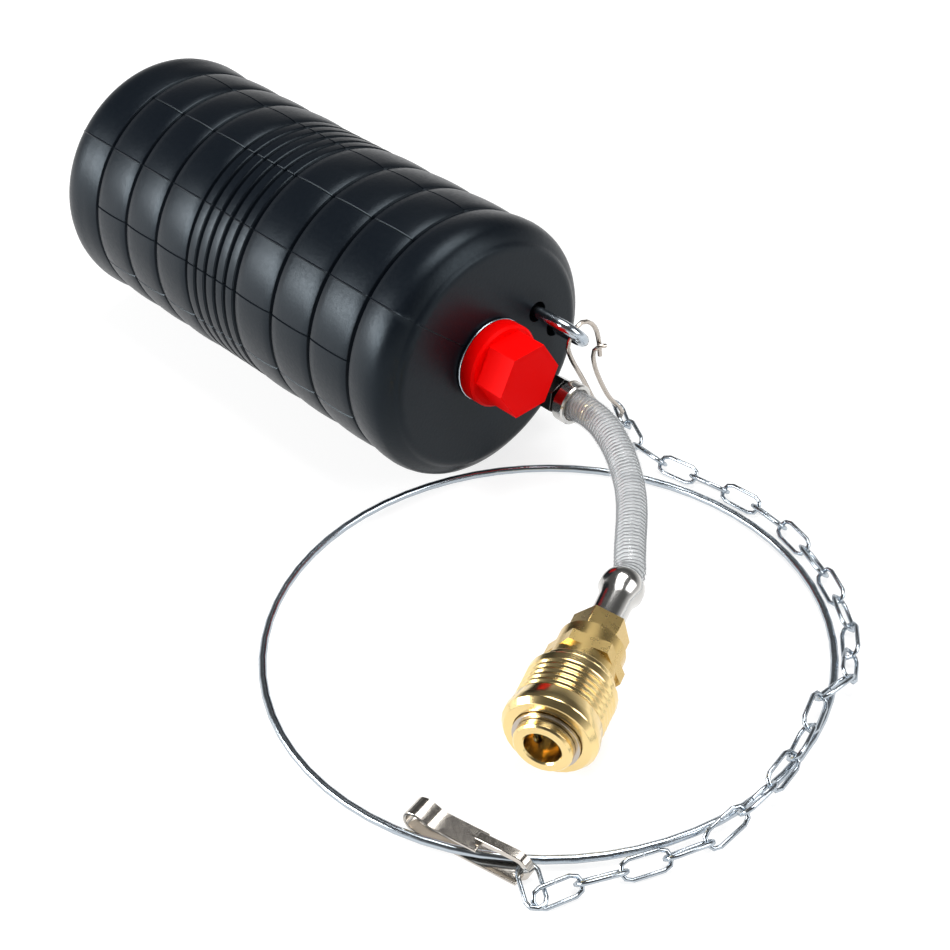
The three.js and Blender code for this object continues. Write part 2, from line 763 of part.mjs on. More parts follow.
// A band of even thickness along a line of [along, height] points, extruded to its width.
function band(line, thickness, width) {
  const curve = new THREE.SplineCurve(line.map((p) => new THREE.Vector2(...p)));
  const centre = curve.getPoints(line.length * 3);
  const left = [];
  const right = [];
  centre.forEach((point, i) => {
    const before = centre[Math.max(i - 1, 0)];
    const after = centre[Math.min(i + 1, centre.length - 1)];
    const side = after.clone().sub(before).normalize().rotateAround(new THREE.Vector2(), Math.PI / 2);
    left.push(point.clone().addScaledVector(side, thickness / 2));
    right.push(point.clone().addScaledVector(side, -thickness / 2));
  });
  const outline = new THREE.Shape([...left, ...right.reverse()]);
  const geometry = new THREE.ExtrudeGeometry(outline, { depth: width, bevelEnabled: false });
  return geometry.rotateX(Math.PI / 2).translate(0, width / 2, 0);
}

function snapHookGeometry() {
  const low = hookStrip / 2;
  const gate = low + 5.1;
  const stripLine = [
    [24, gate],
    [16, gate],
    [9.5, gate + 0.1],
    [7, gate + 1],
    [4.2, gate + 1.9],
    [1.5, gate + 1],
    [0.5, gate - 1.4],
    [1.3, low + 1.5],
    [3.8, low + 0.2],
    [8, low],
    [14, low],
    [24, low],
    [36.5, low],
  ];
  const noseLow = hookNoseThickness / 2;
  const noseHigh = gate + hookStrip / 2 + fitGap + noseLow;
  const noseLine = [
    [34.4, noseLow],
    [36.4, noseLow + 0.2],
    [38.2, noseLow + 1.8],
    [38.5, noseLow + 4],
    [36.8, noseHigh],
    [33, noseHigh + 0.3],
    [22.5, noseHigh],
  ];
  const strip = band(stripLine, hookStrip, hookWidth);
  return join(strip, band(noseLine, hookNoseThickness, hookNoseWidth));
}
add(hookGroup, "snap_hook", snapHookGeometry(), nickelSteel);

// Safety hoop: a welded ring that lies through the hook, so that side stands a strip's thickness higher
function hoopGeometry() {
  return new THREE.TorusGeometry(hoopRadius, hoopRodRadius, 8, 64);
}
const hoop = add(plug, "hoop", hoopGeometry(), zincSteel);
const hoopLift = hookStrip + fitGap;
const towardsHook = Math.atan2(hookPlace[1] - hoopCentre[1], hookPlace[0] + hookOverHoop - hoopCentre[0]);
hoop.position.set(hoopCentre[0], hoopCentre[1], hoopRodRadius + hoopLift / 2);
hoop.quaternion.setFromAxisAngle(
  new THREE.Vector3(-Math.sin(towardsHook), Math.cos(towardsHook), 0),
  -Math.asin(hoopLift / 2 / hoopRadius),
);

// Chain: the line its joints follow over the floor round the hoop, from the hook to the wire clip,
// chosen by hand. The third value lifts the line where the links cross or lie on the hoop.
const chainAtHook = [
  [37, 1.05, 0.7],
  [45.15, -6.4, 0.2],
  [51.7, 5.25, 0],
];
const chainRound = [
  [-30.5, 6.3, 0],
  [-22.2, 5.3, 0],
  [-14.3, 5.2, 0],
  [-6.6, 3.3, 3.7],
  [1.3, 1.9, 3.7],
  [9.7, 0.1, 3.6],
  [18.2, -1.5, 3.5],
  [27.4, -1.3, 3.5],
  [32.9, 4.4, 3],
  [40.3, 4.6, 0.7],
  [47.2, 5.3, 0],
  [54.2, 5.2, 0],
  [62.4, 5.1, 0],
  [70.4, 5.4, 0],
  [78, 6, 0],
  [85.9, 6.5, 0],
  [93.6, 6.3, 0],
  [101.7, 6.5, 0],
  [109.3, 8, 0],
  [116.3, 12.5, 0],
];
const chainAtClip = [
  [20.2, 44.4, 0],
  [6, 53.4, 0],
];
const linkPitch = linkLength - 2 * linkWire - linkSlack;
const linkRoll = 45;
const firstLinkRoll = 4;

// A link's wire, from one side of its butt gap round to the other.
function linkGeometry() {
  const bend = (linkWidth - linkWire) / 2;
  const straight = (linkLength - linkWidth) / 2;
  const bendSteps = 4;
  const points = [new THREE.Vector3(linkButtGap / 2, bend, 0)];
  for (let i = 0; i <= bendSteps; i++) {
    const angle = Math.PI / 2 - (Math.PI * i) / bendSteps;
    points.push(new THREE.Vector3(straight + bend * Math.cos(angle), bend * Math.sin(angle), 0));
  }
  for (let i = 0; i <= bendSteps; i++) {
    const angle = -Math.PI / 2 - (Math.PI * i) / bendSteps;
    points.push(new THREE.Vector3(-straight + bend * Math.cos(angle), bend * Math.sin(angle), 0));
  }
  points.push(new THREE.Vector3(-linkButtGap / 2, bend, 0));
  return swept(circleShape(linkWire / 2, 6), points);
}

function restHeight(roll) {
  return linkWire / 2 + ((linkWidth - linkWire) / 2) * Math.abs(Math.sin(roll));
}

function fromHook(place) {
  const turned = new THREE.Vector3(...place).applyAxisAngle(new THREE.Vector3(0, 0, 1), rad(hookHeading));
  return turned.add(new THREE.Vector3(hookPlace[0], hookPlace[1], 0)).toArray();
}
const hookEye = new THREE.Vector3(...fromHook(chainAtHook[0]));

// Joints at equal steps along the smooth line, after the first one, which is at the hook's eye.
function walk(line, step) {
  const joints = [hookEye, line[0]];
  for (const point of line) {
    const last = joints[joints.length - 1];
    if (point.distanceTo(last) >= step) joints.push(point);
  }
  return joints;
}

// As many links as fill the line at their pitch. Their slack takes up what is left at the clip.
function chainJoints() {
  const chainLine = [
    ...chainAtHook.slice(1).map(fromHook),
    ...chainRound.map((place) => roundHoop(...place)),
    ...chainAtClip,
  ];
  const curve = new THREE.CatmullRomCurve3(chainLine.map((p) => new THREE.Vector3(...p)), false, "centripetal");
  const line = curve.getSpacedPoints(3000);
  for (const point of line) point.z = Math.max(point.z, 0);
  const full = walk(line, linkPitch);
  const rest = line[line.length - 1].distanceTo(full[full.length - 1]);
  if (rest < linkPitch / 2) return walk(line, linkPitch + rest / full.length);
  return walk(line, linkPitch - (linkPitch - rest) / full.length);
}

const linkShape = linkGeometry();
const joints = chainJoints();
for (let i = 0; i < joints.length - 1; i++) {
  const roll = rad(i === 0 ? firstLinkRoll : i % 2 ? linkRoll : -linkRoll);
  const link = add(plug, `chain_link_${String(i + 1).padStart(2, "0")}`, linkShape, zincSteel);
  const along = joints[i + 1].clone().sub(joints[i]);
  link.position.copy(joints[i]).addScaledVector(along.clone().normalize(), linkPitch / 2);
  link.position.z += restHeight(rad(linkRoll));
  link.rotation.set(roll, -Math.asin(along.z / along.length()), Math.atan2(along.y, along.x), "ZYX");
}

// Wire clip: passes through the towing eye, and its foot holds the chain's last link
function wireClipGeometry() {
  const clipX = eyeLegLength + eyeHalfWidth - eyeBarRadius - clipWireRadius - 2 * fitGap;
  const eyeY = eyeCentre.x;
  const eyeZ = bodyRadius + eyeCentre.y;
  const atEye = (dy, dz, dx = 0) => [clipX + dx, eyeY + dy, eyeZ + dz];
  const legs = new THREE.Vector2(-0.61, 0.79);
  const side = new THREE.Vector2(0.79, 0.61);
  const atFoot = (up, across) => [
    clipX,
    clipFootY + legs.x * up + side.x * across,
    clipFootZ + legs.y * up + side.y * across,
  ];
  const line = [
    atEye(12.8, -14.8),
    atEye(12.1, -8.3),
    atEye(10.5, -2.8),
    atEye(7.6, 0.9),
    atEye(4.4, 2.4),
    atEye(1.6, 1.5),
    atEye(-0.9, -0.9),
    atEye(-2.2, -3.8),
    atEye(-1.4, -7.6),
    atEye(5, -21),
    atFoot(16, -clipFootBend),
    atFoot(5, -clipFootBend),
    atFoot(0, -clipFootBend),
    atFoot(-1.5, -clipFootBend * 0.7),
    atFoot(-clipFootBend, 0),
    atFoot(-1.5, clipFootBend * 0.7),
    atFoot(0, clipFootBend),
    atFoot(5, clipFootBend),
    atFoot(12, clipFootBend + 0.4),
    atEye(10.3, -17.8),
    atEye(9.7, -11.8),
    atEye(10.2, -9.9, 1),
    atEye(11.5, -9.3, 2),
    atEye(13.2, -10.1, 2.1),
  ];
  return swept(circleShape(clipWireRadius, 6), smoothPoints(line, 48));
}
add(plug, "wire_clip", wireClipGeometry(), springSteel);

// The origin goes to the middle of the plug's footprint, on the floor. The hose and coupler hang on it
plug.updateMatrixWorld(true);
const onHose = [
  "hose", "top_ferrule", "top_barb", "bottom_ferrule", "hose_tail", "coupler_nut", "coupler_body",
  "coupler_sleeve", "sleeve_spring", "snap_ring", "valve_poppet", "valve_seal", "valve_spring",
];
const footprint = new THREE.Box3();
plug.traverse((item) => {
  const carried = onHose.includes(item.name) || item.name.startsWith("locking_ball");
  if (item.isMesh && !carried) footprint.expandByObject(item, true);
});
const middle = footprint.getCenter(new THREE.Vector3());
plug.position.set(-middle.x, -middle.y, 0);

export default plug;
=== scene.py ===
import json
import math

import bmesh
import bpy
from mathutils import Matrix, Vector


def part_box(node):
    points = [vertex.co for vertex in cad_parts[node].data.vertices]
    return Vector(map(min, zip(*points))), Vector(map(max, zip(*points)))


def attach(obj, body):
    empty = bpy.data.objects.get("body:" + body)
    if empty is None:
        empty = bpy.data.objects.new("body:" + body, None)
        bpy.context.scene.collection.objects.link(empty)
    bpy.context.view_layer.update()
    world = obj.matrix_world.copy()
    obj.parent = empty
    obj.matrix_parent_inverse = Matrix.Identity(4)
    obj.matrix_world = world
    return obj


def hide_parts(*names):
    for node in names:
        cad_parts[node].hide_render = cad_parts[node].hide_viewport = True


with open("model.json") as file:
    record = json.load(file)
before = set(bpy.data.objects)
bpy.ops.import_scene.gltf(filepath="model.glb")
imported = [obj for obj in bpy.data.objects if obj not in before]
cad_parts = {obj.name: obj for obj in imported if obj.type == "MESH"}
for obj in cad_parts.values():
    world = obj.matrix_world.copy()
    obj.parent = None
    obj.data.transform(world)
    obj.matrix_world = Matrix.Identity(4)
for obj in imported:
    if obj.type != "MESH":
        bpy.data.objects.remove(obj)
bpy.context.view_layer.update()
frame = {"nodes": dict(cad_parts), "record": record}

# Camera: a long lens that looks down on the plug from in front of its capped end.
# Places are given from the front face's lowest point: X out of the face, Y across, Z up, in
# millimetres. at() turns them into places in the frame, in metres.
body_low, body_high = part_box("rubber_body")
front_x = body_high[0]
axis_y = (body_low[1] + body_high[1]) / 2
mm = 0.001


def at(x, y, z):
    return Vector((front_x + x * mm, axis_y + y * mm, z * mm))


def add_object(name, data):
    added = bpy.data.objects.new(name, data)
    bpy.context.collection.objects.link(added)
    return added


camera_place = at(373.2, -335.3, 388.9)
camera_yaw = math.radians(138.805)
camera_pitch = math.radians(-37.943)
camera_roll = math.radians(2.484)
camera_lens = 71.41
photo_side = 950
looks = Vector((
    math.cos(camera_pitch) * math.cos(camera_yaw),
    math.cos(camera_pitch) * math.sin(camera_yaw),
    math.sin(camera_pitch),
))
level_right = looks.cross(Vector((0, 0, 1))).normalized()
level_down = looks.cross(level_right)
right = level_right * math.cos(camera_roll) + level_down * math.sin(camera_roll)
up = looks.cross(right) * -1
camera_data = bpy.data.cameras.new("camera")
camera_data.sensor_width = 36
camera_data.lens = camera_lens
camera_data.clip_start = 0.02
camera = add_object("camera", camera_data)
turn = Matrix((right, up, -looks)).transposed().to_4x4()
camera.matrix_world = Matrix.Translation(camera_place) @ turn
scene = bpy.context.scene
scene.camera = camera
scene.render.resolution_x = photo_side
scene.render.resolution_y = photo_side
scene.view_settings.view_transform = "Standard"


# Air hose: clear soft tube with a wire spiral in its wall, which keeps it open when it bends.
# Its upper end is crimped on the nipple of the front face and its lower end on the coupler,
# and it lies between them in one bend, held up by both.
hose_diameter = 0.0108
hose_route = [
    (17.0, 18.4, 27.5), (22.0, 18.4, 27.5), (27.0, 18.4, 27.5), (33.0, 17.5, 27.1),
    (38.6, 15.7, 26.3), (44.2, 13.3, 25.3), (49.4, 10.4, 24.3), (54.3, 7.2, 23.3),
    (59.2, 3.5, 22.3), (64.1, -0.9, 21.2), (68.9, -6.0, 20.1), (73.6, -11.4, 18.9),
    (78.1, -16.4, 17.8), (81.8, -20.4, 16.6), (83.5, -24.0, 16.5), (85.8, -29.0, 16.4),
]


def shader_of(material):
    return material.node_tree.nodes["Principled BSDF"]


def finish(name, colour, roughness, metallic=0.0, specular=0.5):
    material = bpy.data.materials.new(name)
    material.use_nodes = True
    shader = shader_of(material)
    shader.inputs["Base Color"].default_value = (*colour, 1)
    shader.inputs["Roughness"].default_value = roughness
    shader.inputs["Metallic"].default_value = metallic
    shader.inputs["Specular IOR Level"].default_value = specular
    return material


def route_line(name, points, radius, sides):
    """A round cord along a smooth line through the points."""
    curve = bpy.data.curves.new(name, "CURVE")
    curve.dimensions = "3D"
    curve.bevel_depth = radius
    curve.bevel_resolution = sides
    curve.resolution_u = 6
    spline = curve.splines.new("BEZIER")
    spline.bezier_points.add(len(points) - 1)
    for knot, point in zip(spline.bezier_points, points):
        knot.co = point
        knot.handle_left_type = "AUTO"
        knot.handle_right_type = "AUTO"
    return add_object(name, curve)


clear_hose = finish("clear_hose", (0.72, 0.74, 0.75), roughness=0.1)
shader_of(clear_hose).inputs["Alpha"].default_value = 0.2
hose_points = [at(*point) for point in hose_route]
hose = route_line("air_hose", hose_points, hose_diameter / 2, sides=6)
hose.data.materials.append(clear_hose)
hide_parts("hose")
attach(hose, "plug")

# The milky inner layer and the spiral follow the same line, the spiral in the middle of the wall
liner_radius = 0.0043
liner_step = 0.004
spiral_radius = 0.0048
spiral_wire = 0.00022
spiral_pitch = 0.00135
spiral_steps = 12
span_parts = 20


def smooth_route(points, step):
    """Points at even steps along a smooth line through the given ones."""
    fine = []
    for i in range(len(points) - 1):
        p0 = points[max(i - 1, 0)]
        p1 = points[i]
        p2 = points[i + 1]
        p3 = points[min(i + 2, len(points) - 1)]
        for k in range(span_parts):
            t = k / span_parts
            fine.append(0.5 * (
                2 * p1 + (p2 - p0) * t + (2 * p0 - 5 * p1 + 4 * p2 - p3) * t * t
                + (3 * p1 - p0 - 3 * p2 + p3) * t * t * t
            ))
    fine.append(points[-1])
    even = [fine[0]]
    carried = 0.0
    for a, b in zip(fine, fine[1:]):
        length = (b - a).length
        while length > 0 and carried + length >= step:
            a = a.lerp(b, (step - carried) / length)
            even.append(a)
            length = (b - a).length
            carried = 0.0
        carried += length
    return even


spiral_line = smooth_route(hose_points, spiral_pitch / spiral_steps)
liner = route_line("hose_liner", smooth_route(hose_points, liner_step), liner_radius, sides=4)
liner_finish = finish("hose_liner", (0.80, 0.83, 0.84), roughness=0.3)
shader_of(liner_finish).inputs["Alpha"].default_value = 0.45
liner.data.materials.append(liner_finish)
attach(liner, "plug")

# The spiral turns round the line in a frame that is carried along it without twisting
coil_points = []
side = Vector((0, 0, 1))
for i in range(1, len(spiral_line) - 1):
    along = (spiral_line[i + 1] - spiral_line[i - 1]).normalized()
    side = (side - along * side.dot(along)).normalized()
    other = along.cross(side)
    angle = 2 * math.pi * i / spiral_steps
    coil_points.append(
        spiral_line[i] + (side * math.cos(angle) + other * math.sin(angle)) * spiral_radius)
spiral_curve = bpy.data.curves.new("hose_spiral", "CURVE")
spiral_curve.dimensions = "3D"
spiral_curve.bevel_depth = spiral_wire
spiral_curve.bevel_resolution = 0
spiral_spline = spiral_curve.splines.new("POLY")
spiral_spline.points.add(len(coil_points) - 1)
for knot, point in zip(spiral_spline.points, coil_points):
    knot.co = (*point, 1)
spiral = add_object("hose_spiral", spiral_curve)
spiral_curve.materials.append(
    finish("spiral_wire", (0.20, 0.21, 0.22), roughness=0.3, metallic=0.8))
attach(spiral, "plug")


# Rubber body: one thick moulded bladder, with ring grooves so that it swells evenly.
# The mould leaves fine lines along it and a raised parting line, over the front face too.

# Uneven sheen, shared by the finishes: no moulded, plated or turned surface is quite even
sheen = bpy.data.node_groups.new("uneven_sheen", "ShaderNodeTree")
for socket, value in (("Scale", 60.0), ("Roughness", 0.4), ("Spread", 0.1)):
    made = sheen.interface.new_socket(socket, in_out="INPUT", socket_type="NodeSocketFloat")
    made.default_value = value
sheen.interface.new_socket("Roughness", in_out="OUTPUT", socket_type="NodeSocketFloat")
sheen.interface.new_socket("Height", in_out="OUTPUT", socket_type="NodeSocketFloat")
sheen_in = sheen.nodes.new("NodeGroupInput")
sheen_out = sheen.nodes.new("NodeGroupOutput")
sheen_place = sheen.nodes.new("ShaderNodeTexCoord")
sheen_noise = sheen.nodes.new("ShaderNodeTexNoise")
sheen_noise.inputs["Detail"].default_value = 4
sheen_centred = sheen.nodes.new("ShaderNodeMath")
sheen_centred.operation = "SUBTRACT"
sheen_centred.inputs[1].default_value = 0.5
sheen_spread = sheen.nodes.new("ShaderNodeMath")
sheen_spread.operation = "MULTIPLY_ADD"
sheen.links.new(sheen_place.outputs["Object"], sheen_noise.inputs["Vector"])
sheen.links.new(sheen_in.outputs["Scale"], sheen_noise.inputs["Scale"])
sheen.links.new(sheen_noise.outputs["Fac"], sheen_centred.inputs[0])
sheen.links.new(sheen_centred.outputs[0], sheen_spread.inputs[0])
sheen.links.new(sheen_in.outputs["Spread"], sheen_spread.inputs[1])
sheen.links.new(sheen_in.outputs["Roughness"], sheen_spread.inputs[2])
sheen.links.new(sheen_spread.outputs[0], sheen_out.inputs["Roughness"])
sheen.links.new(sheen_noise.outputs["Fac"], sheen_out.inputs["Height"])


def add_sheen(material, scale, spread, bump=0.0):
    nodes = material.node_tree.nodes
    links = material.node_tree.links
    shader = shader_of(material)
    group = nodes.new("ShaderNodeGroup")
    group.node_tree = sheen
    group.inputs["Scale"].default_value = scale
    group.inputs["Roughness"].default_value = shader.inputs["Roughness"].default_value
    group.inputs["Spread"].default_value = spread
    links.new(group.outputs["Roughness"], shader.inputs["Roughness"])
    if bump:
        relief = nodes.new("ShaderNodeBump")
        relief.inputs["Strength"].default_value = 0.6
        relief.inputs["Distance"].default_value = bump
        links.new(group.outputs["Height"], relief.inputs["Height"])
        links.new(relief.outputs["Normal"], shader.inputs["Normal"])


rubber = finish("black_rubber", (0.0025, 0.004, 0.0065), roughness=0.36, specular=0.22)
shader_of(rubber).inputs["Specular Tint"].default_value = (0.74, 0.89, 1.0, 1)
add_sheen(rubber, scale=900.0, spread=0.2, bump=0.00006)

# The outline of the body, as radius and distance behind the front face in millimetres.
# Each rib between two grooves is crowned, the wide ribs more than the close ones.
bore_radius = 10.3
edge_radius = 44.1
groove_depth = 1.5
half_groove = [(0, 1.1), (0.2, 0.75), (1.1, 0.4)]
crown = 0.55
close_crown = 0.2
close_gap = 6
crown_shares = (0.2, 0.35, 0.5, 0.65, 0.8)
wide_grooves = [19.1, 38.8, 58.5, 78.2]
close_grooves = [83.6, 89.0, 94.4, 99.8, 105.2]
rear_grooves = [123.3, 141.4, 159.5]
body_length = 183.0
face_and_shoulder = [
    (bore_radius, 0), (14.6, 0), (20, 0), (28, 0), (36, 0), (36.9, 0.05), (37.9, 0.25),
    (38.7, 0.7), (39.3, 1.3), (39.8, 1.7), (40.6, 2.1), (41.6, 2.9), (42.7, 3.8),
    (43.7, 5.0), (44.4, 6.6), (44.8, 8.3), (45, 10), (44.9, 13), (44.5, 16),
]
other_half = [(sink, -reach) for sink, reach in reversed(half_groove)]
groove_section = half_groove + [(groove_depth, 0)] + other_half
all_grooves = wide_grooves + close_grooves + rear_grooves
outline = list(face_and_shoulder)
for i, groove in enumerate(all_grooves):
    for sink, reach in groove_section:
        outline.append((edge_radius - sink, groove - reach))
    if i + 1 < len(all_grooves):
        gap = all_grooves[i + 1] - groove
        rise = crown if gap > close_gap else close_crown
        for share in crown_shares:
            outline.append((edge_radius + rise * (1 - (2 * share - 1) ** 2), groove + gap * share))
outline += [(r, body_length - x) for r, x in reversed(face_and_shoulder)]

# Rings of the outline round the axis, at angles in degrees. Each mould line is a fine groove, and
# a raised parting line takes the place of one of them.
mould_line_from = 107.5
mould_line_pitch = 29.3
parting_place = 1
mould_line_places = [k for k in range(-5, 7) if k != parting_place]
mould_lines = [mould_line_from + mould_line_pitch * k for k in mould_line_places]
parting_line = 137.5
mould_step = -0.4
parting_step = 0.35
line_half = 0.45
line_clearance = 1.2
ring_pitch = 3.0
lined_from = 19
lined_to = 160
side_radius = 40.5
face_depth = 1
flange_radius = 14.3


def degrees_apart(first, second):
    return abs((first - second + 180) % 360 - 180)


angles = {ring_pitch * k: 0.0 for k in range(round(360 / ring_pitch))}
for line, step in [(line, mould_step) for line in mould_lines] + [(parting_line, parting_step)]:
    angles = {a: d for a, d in angles.items() if degrees_apart(a, line) > line_clearance}
    angles.update({(line - line_half) % 360: 0.0, line % 360: step, (line + line_half) % 360: 0.0})

rubber_shape = bmesh.new()
axis_height = 45
first_ring = [
    rubber_shape.verts.new(at(-x, 0, axis_height) + Vector((0, r * mm, 0))) for r, x in outline]
ring_edges = [
    rubber_shape.edges.new(pair)
    for pair in zip(first_ring, first_ring[1:] + first_ring[:1])]
axis_point = at(0, 0, axis_height)
turned_to = 0.0
rings = [(first_ring, angles[0.0])]
for angle in sorted(angles)[1:] + [360.0]:
    grown = bmesh.ops.extrude_edge_only(rubber_shape, edges=ring_edges)["geom"]
    ring = [piece for piece in grown if isinstance(piece, bmesh.types.BMVert)]
    ring_edges = [
        piece for piece in grown
        if isinstance(piece, bmesh.types.BMEdge) and all(vert in ring for vert in piece.verts)]
    bmesh.ops.rotate(
        rubber_shape, verts=ring, cent=axis_point,
        matrix=Matrix.Rotation(math.radians(angle - turned_to), 3, "X"))
    turned_to = angle
    rings.append((ring, angles.get(angle, 0.0)))
for ring, step in rings:
    if not step:
        continue
    for vert in ring:
        behind = (front_x - vert.co.x) / mm
        off_axis = vert.co - Vector((vert.co.x, axis_point.y, axis_point.z))
        on_side = off_axis.length > side_radius * mm
        on_face = behind < face_depth and off_axis.length > flange_radius * mm
        if on_side and (step > 0 or lined_from < behind < lined_to):
            vert.co += off_axis.normalized() * step * mm
        elif step > 0 and on_face:
            vert.co.x += step * mm
seam_distance = 2e-6
bmesh.ops.remove_doubles(rubber_shape, verts=rubber_shape.verts, dist=seam_distance)
bmesh.ops.recalc_face_normals(rubber_shape, faces=rubber_shape.faces)
rubber_mesh = bpy.data.meshes.new("rubber_body")
rubber_shape.to_mesh(rubber_mesh)
rubber_shape.free()
blank = add_object("rubber_blank", rubber_mesh)

# Hollows in the front face round the eye's two legs and the nipple, with places across and up
eye_hollow = 3.6
nipple_hollow = 4.5
hollow_depth = 9
hollow_sides = 48
hollows = [(29.03, 43.8, eye_hollow), (21.32, 53.0, eye_hollow), (18.4, 27.5, nipple_hollow)]
cutters = []
for y, z, radius in hollows:
    cutter_shape = bmesh.new()
    bmesh.ops.create_cone(
        cutter_shape, cap_ends=True, segments=hollow_sides,
        radius1=radius * mm, radius2=radius * mm, depth=2 * hollow_depth * mm,
        matrix=Matrix.Translation(at(0, y, z)) @ Matrix.Rotation(math.pi / 2, 4, "Y"))
    cutter_mesh = bpy.data.meshes.new("hollow")
    cutter_shape.to_mesh(cutter_mesh)
    cutter_shape.free()
    cutter = add_object("hollow", cutter_mesh)
    hollow = blank.modifiers.new("hollow", "BOOLEAN")
    hollow.object = cutter
    hollow.solver = "EXACT"
    cutters.append(cutter)
bpy.context.view_layer.update()
body_mesh = bpy.data.meshes.new_from_object(
    blank.evaluated_get(bpy.context.evaluated_depsgraph_get()))
for spent in (*cutters, blank):
    bpy.data.objects.remove(spent)
body_crease = math.radians(38)
body_shape = bmesh.new()
body_shape.from_mesh(body_mesh)
for face in body_shape.faces:
    face.smooth = True
for rim in body_shape.edges:
    rim.smooth = rim.calc_face_angle(0.0) < body_crease
body_shape.to_mesh(body_mesh)
body_shape.free()
body_mesh.materials.clear()
body_mesh.materials.append(rubber)
rubber_body = add_object("rubber_bladder", body_mesh)
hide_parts("rubber_body")
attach(rubber_body, "plug")


# Bypass: an aluminium pipe right through the body, clamped by a plated flange in front
# and a washer and nut behind. A red screw cap with a flat seal closes its nozzle.
body_of_node = {}
for body_name, nodes in frame["record"]["behaviour"]["bodies"].items():
    for node_name in nodes:
        body_of_node[node_name] = body_name
merge_distance = 1e-6
flat_angle = math.radians(1.0)


def smoothed(node, material, crease=32.0, edge=0.0):
    """A copy of a CAD node with its surface shaded smooth up to the crease angle."""
    mesh = frame["nodes"][node].data.copy()
    mesh.materials.clear()
    mesh.materials.append(material)
    shape = bmesh.new()
    shape.from_mesh(mesh)
    bmesh.ops.remove_doubles(shape, verts=shape.verts, dist=merge_distance)
    bmesh.ops.dissolve_limit(
        shape, angle_limit=flat_angle, verts=shape.verts, edges=shape.edges)
    bmesh.ops.recalc_face_normals(shape, faces=shape.faces)
    for face in shape.faces:
        face.smooth = True
        face.material_index = 0
    for rim in shape.edges:
        rim.smooth = rim.calc_face_angle(0.0) < math.radians(crease)
    shape.to_mesh(mesh)
    shape.free()
    piece = add_object(node + "_finish", mesh)
    if edge:
        bevel = piece.modifiers.new("edge", "BEVEL")
        bevel.width = edge
        bevel.segments = 2
        bevel.limit_method = "ANGLE"
        bevel.angle_limit = math.radians(crease)
    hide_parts(node)
    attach(piece, body_of_node[node])
    return piece


zinc = finish("zinc_plate", (0.44, 0.49, 0.54), roughness=0.2, metallic=1.0)
add_sheen(zinc, scale=700.0, spread=0.18)
aluminium = finish("turned_aluminium", (0.62, 0.63, 0.64), roughness=0.35, metallic=1.0)
seal_rubber = finish("seal_rubber", (0.012, 0.012, 0.013), roughness=0.6)
red_cap_finish = finish("red_cap", (0.88, 0.0, 0.0), roughness=0.45, specular=0.06)
for node in ("bypass_tube", "front_end_plate", "rear_end_plate"):
    smoothed(node, aluminium)
for node in ("bypass_flange", "rear_washer", "rear_lock_nut"):
    smoothed(node, zinc, edge=0.0002)
smoothed("red_cap", red_cap_finish)
smoothed("cap_seal", seal_rubber)


# Towing eye and inflation nipple: the eye is a thick zinc-plated bar bent to a loop, its legs
# held in the front plate. The nipple is a dark bright-plated fitting with a hexagon.
dark_chrome = finish("dark_chrome", (0.16, 0.155, 0.15), roughness=0.16, metallic=1.0)
add_sheen(dark_chrome, scale=500.0, spread=0.1)
smoothed("towing_eye", zinc, crease=50.0)
smoothed("inflation_nipple", dark_chrome, edge=0.0003)


# Ferrules: thin bright-plated steel sleeves, one over each end of the hose. Each is crimped
# there on a turned brass barb, and the upper barb shows through the hose's wall.
chrome = finish("bright_chrome", (0.58, 0.57, 0.55), roughness=0.18, metallic=1.0)
add_sheen(chrome, scale=300.0, spread=0.08)
brass = finish("turned_brass", (0.84, 0.64, 0.30), roughness=0.2, metallic=1.0)
add_sheen(brass, scale=250.0, spread=0.08)
top_ferrule_piece = smoothed("top_ferrule", chrome)
top_barb_piece = smoothed("top_barb", brass, crease=40.0)
bottom_ferrule_piece = smoothed("bottom_ferrule", chrome)


# Quick coupler: turned from brass bar. The hose tail screws into the rear body, which carries
# the front body. A sprung sleeve slides on that and is held by a steel snap ring.
milled_brass = finish("milled_brass", (0.64, 0.46, 0.18), roughness=0.28, metallic=1.0)
add_sheen(milled_brass, scale=400.0, spread=0.1)
spring_steel = finish("spring_steel", (0.50, 0.45, 0.40), roughness=0.24, metallic=1.0)
add_sheen(spring_steel, scale=600.0, spread=0.1)
coupler_pieces = [
    smoothed("hose_tail", milled_brass, edge=0.0003),
    smoothed("coupler_nut", milled_brass, edge=0.0003),
    smoothed("coupler_body", brass, edge=0.0002),
    smoothed("coupler_sleeve", brass, crease=24.0, edge=0.0002),
    smoothed("sleeve_spring", spring_steel, crease=70.0),
    smoothed("snap_ring", spring_steel, edge=0.0001),
    smoothed("valve_poppet", dark_chrome, edge=0.0002),
    smoothed("valve_seal", seal_rubber),
    smoothed("valve_spring", spring_steel, crease=70.0),
]
locking_balls = 4
for i in range(1, locking_balls + 1):
    coupler_pieces.append(smoothed(f"locking_ball_{i}", zinc, crease=60.0))


# Safety hoop: a closed ring of zinc-plated steel rod, bent round and butt welded.
# It lies through the strip hook, partly under the rubber body's front edge.
smoothed("hoop", zinc, crease=60.0)


# Strip hook: one nickel-plated steel strip bent round an eye, with a narrow thick nose.
# It lies on the floor with the hoop through it, and the chain starts at its eye.
nickel = finish("nickel_plate", (0.56, 0.52, 0.47), roughness=0.16, metallic=1.0)
add_sheen(nickel, scale=900.0, spread=0.14, bump=0.00002)
smoothed("snap_hook", nickel, crease=30.0, edge=0.0002)


# Chain: links of zinc-plated steel wire, each bent to a closed loop through the last one.
# It runs from the strip hook to the wire clip in the towing eye.
for name in sorted(frame["nodes"]):
    if name.startswith("chain_link_"):
        smoothed(name, zinc, crease=70.0)


